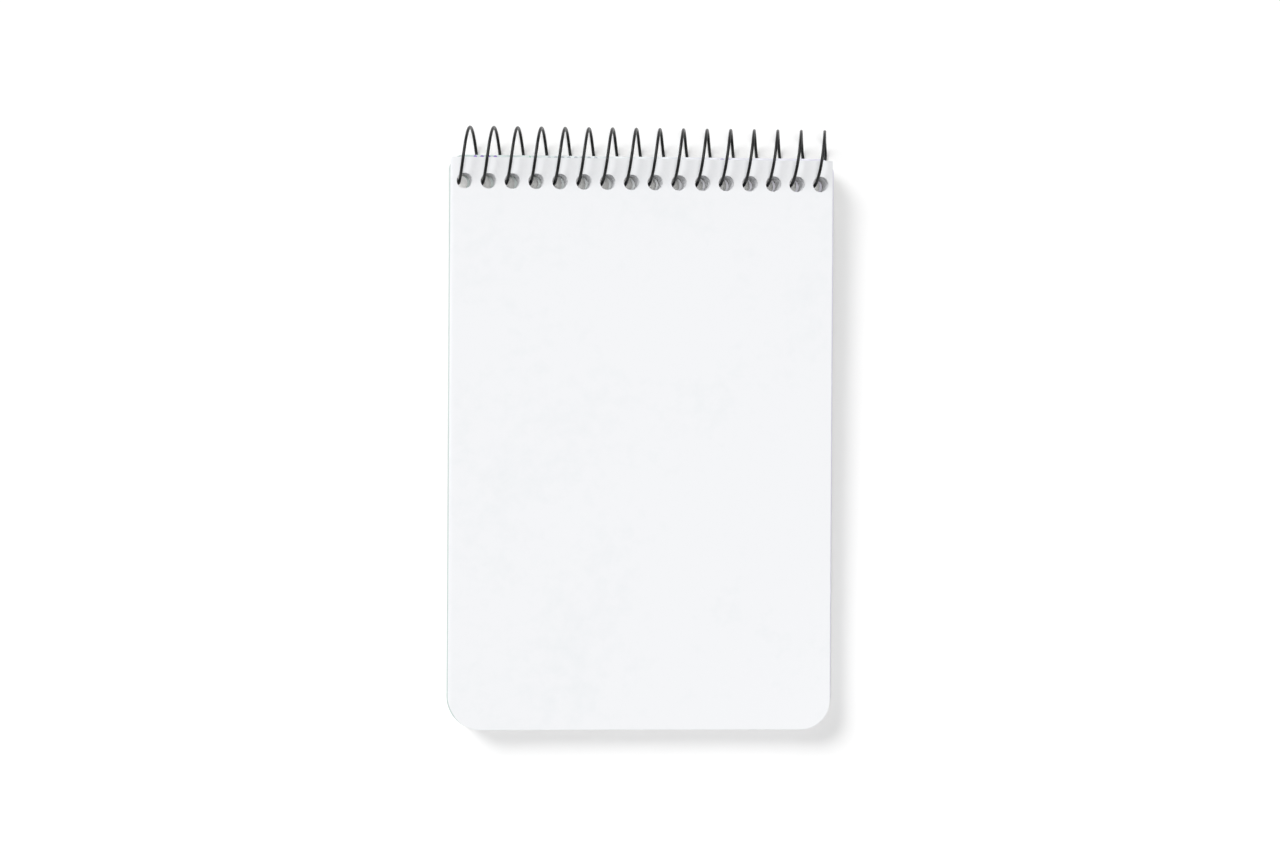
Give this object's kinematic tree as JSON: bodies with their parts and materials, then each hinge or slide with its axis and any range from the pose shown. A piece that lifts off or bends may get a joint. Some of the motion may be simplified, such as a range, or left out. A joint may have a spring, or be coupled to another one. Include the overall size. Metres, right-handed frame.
{
  "type": "pocket notebook",
  "caption": "Top-spiral pocket notebook with blank white leaves on a black wire coil; its front cover is folded round behind the pad.",
  "frame": {"origin": "under the middle of the whole notebook, on the plane that touches the underside of the coil", "axes": "+X along the coil, to the right as the top leaf is read; +Y up the leaf towards the coil; +Z out of the top leaf"},
  "size_m": [0.104, 0.1622, 0.0158],
  "materials": {
    "white_paper": "uncoated smooth white writing paper",
    "grey_board": "plain grey-brown recycled board",
    "printed_card": null,
    "black_wire": "black-coated steel spring wire, semi-gloss"
  },
  "bodies": {
    "front_cover_flap": {"front_cover": "printed_card"},
    "pad_back": {"back_cover": "grey_board", "wire_coil": "black_wire"},
    "leaf_01_body": {"leaf_01": "white_paper"},
    "leaf_02_body": {"leaf_02": "white_paper"},
    "leaf_03_body": {"leaf_03": "white_paper"},
    "leaf_04_body": {"leaf_04": "white_paper"},
    "leaf_05_body": {"leaf_05": "white_paper"},
    "leaf_06_body": {"leaf_06": "white_paper"},
    "leaf_07_body": {"leaf_07": "white_paper"},
    "leaf_08_body": {"leaf_08": "white_paper"},
    "leaf_09_body": {"leaf_09": "white_paper"},
    "leaf_10_body": {"leaf_10": "white_paper"},
    "leaves_11_to_18": {"leaf_11": "white_paper", "leaf_12": "white_paper", "leaf_13": "white_paper", "leaf_14": "white_paper", "leaf_15": "white_paper", "leaf_16": "white_paper", "leaf_17": "white_paper", "leaf_18": "white_paper"},
    "leaves_19_to_28": {"leaf_19": "white_paper", "leaf_20": "white_paper", "leaf_21": "white_paper", "leaf_22": "white_paper", "leaf_23": "white_paper", "leaf_24": "white_paper", "leaf_25": "white_paper", "leaf_26": "white_paper", "leaf_27": "white_paper", "leaf_28": "white_paper"},
    "leaves_29_to_38": {"leaf_29": "white_paper", "leaf_30": "white_paper", "leaf_31": "white_paper", "leaf_32": "white_paper", "leaf_33": "white_paper", "leaf_34": "white_paper", "leaf_35": "white_paper", "leaf_36": "white_paper", "leaf_37": "white_paper", "leaf_38": "white_paper"},
    "leaves_39_to_50": {"leaf_39": "white_paper", "leaf_40": "white_paper", "leaf_41": "white_paper", "leaf_42": "white_paper", "leaf_43": "white_paper", "leaf_44": "white_paper", "leaf_45": "white_paper", "leaf_46": "white_paper", "leaf_47": "white_paper", "leaf_48": "white_paper", "leaf_49": "white_paper", "leaf_50": "white_paper"}
  },
  "joints": [
    {"name": "pad_lift", "type": "hinge", "parent": "front_cover_flap", "child": "pad_back", "pos_m": [0, 0.07321, 0.0079], "axis": [-1, 0, 0], "range_deg": [0, 30]},
    {"name": "leaf_01_body_turn", "type": "hinge", "parent": "pad_back", "child": "leaf_01_body", "pos_m": [0, 0.07321, 0.0079], "axis": [-1, 0, 0], "range_deg": [0, 150]},
    {"name": "leaf_02_body_turn", "type": "hinge", "parent": "pad_back", "child": "leaf_02_body", "pos_m": [0, 0.07321, 0.0079], "axis": [-1, 0, 0], "range_deg": [0, 143.25]},
    {"name": "leaf_03_body_turn", "type": "hinge", "parent": "pad_back", "child": "leaf_03_body", "pos_m": [0, 0.07321, 0.0079], "axis": [-1, 0, 0], "range_deg": [0, 136.5]},
    {"name": "leaf_04_body_turn", "type": "hinge", "parent": "pad_back", "child": "leaf_04_body", "pos_m": [0, 0.07321, 0.0079], "axis": [-1, 0, 0], "range_deg": [0, 129.75]},
    {"name": "leaf_05_body_turn", "type": "hinge", "parent": "pad_back", "child": "leaf_05_body", "pos_m": [0, 0.07321, 0.0079], "axis": [-1, 0, 0], "range_deg": [0, 123]},
    {"name": "leaf_06_body_turn", "type": "hinge", "parent": "pad_back", "child": "leaf_06_body", "pos_m": [0, 0.07321, 0.0079], "axis": [-1, 0, 0], "range_deg": [0, 116.25]},
    {"name": "leaf_07_body_turn", "type": "hinge", "parent": "pad_back", "child": "leaf_07_body", "pos_m": [0, 0.07321, 0.0079], "axis": [-1, 0, 0], "range_deg": [0, 109.5]},
    {"name": "leaf_08_body_turn", "type": "hinge", "parent": "pad_back", "child": "leaf_08_body", "pos_m": [0, 0.07321, 0.0079], "axis": [-1, 0, 0], "range_deg": [0, 102.75]},
    {"name": "leaf_09_body_turn", "type": "hinge", "parent": "pad_back", "child": "leaf_09_body", "pos_m": [0, 0.07321, 0.0079], "axis": [-1, 0, 0], "range_deg": [0, 96]},
    {"name": "leaf_10_body_turn", "type": "hinge", "parent": "pad_back", "child": "leaf_10_body", "pos_m": [0, 0.07321, 0.0079], "axis": [-1, 0, 0], "range_deg": [0, 89.25]},
    {"name": "leaves_11_to_18_turn", "type": "hinge", "parent": "pad_back", "child": "leaves_11_to_18", "pos_m": [0, 0.07321, 0.0079], "axis": [-1, 0, 0], "range_deg": [0, 75]},
    {"name": "leaves_19_to_28_turn", "type": "hinge", "parent": "pad_back", "child": "leaves_19_to_28", "pos_m": [0, 0.07321, 0.0079], "axis": [-1, 0, 0], "range_deg": [0, 57]},
    {"name": "leaves_29_to_38_turn", "type": "hinge", "parent": "pad_back", "child": "leaves_29_to_38", "pos_m": [0, 0.07321, 0.0079], "axis": [-1, 0, 0], "range_deg": [0, 37.5]},
    {"name": "leaves_39_to_50_turn", "type": "hinge", "parent": "pad_back", "child": "leaves_39_to_50", "pos_m": [0, 0.07321, 0.0079], "axis": [-1, 0, 0], "range_deg": [0, 15]}
  ],
  "couplings": [
    {"joint": "leaf_02_body_turn", "follows": "leaf_01_body_turn", "ratio": 0.955},
    {"joint": "leaf_03_body_turn", "follows": "leaf_01_body_turn", "ratio": 0.91},
    {"joint": "leaf_04_body_turn", "follows": "leaf_01_body_turn", "ratio": 0.865},
    {"joint": "leaf_05_body_turn", "follows": "leaf_01_body_turn", "ratio": 0.82},
    {"joint": "leaf_06_body_turn", "follows": "leaf_01_body_turn", "ratio": 0.775},
    {"joint": "leaf_07_body_turn", "follows": "leaf_01_body_turn", "ratio": 0.73},
    {"joint": "leaf_08_body_turn", "follows": "leaf_01_body_turn", "ratio": 0.685},
    {"joint": "leaf_09_body_turn", "follows": "leaf_01_body_turn", "ratio": 0.64},
    {"joint": "leaf_10_body_turn", "follows": "leaf_01_body_turn", "ratio": 0.595},
    {"joint": "leaves_11_to_18_turn", "follows": "leaf_01_body_turn", "ratio": 0.5},
    {"joint": "leaves_19_to_28_turn", "follows": "leaf_01_body_turn", "ratio": 0.38},
    {"joint": "leaves_29_to_38_turn", "follows": "leaf_01_body_turn", "ratio": 0.25},
    {"joint": "leaves_39_to_50_turn", "follows": "leaf_01_body_turn", "ratio": 0.1}
  ]
}
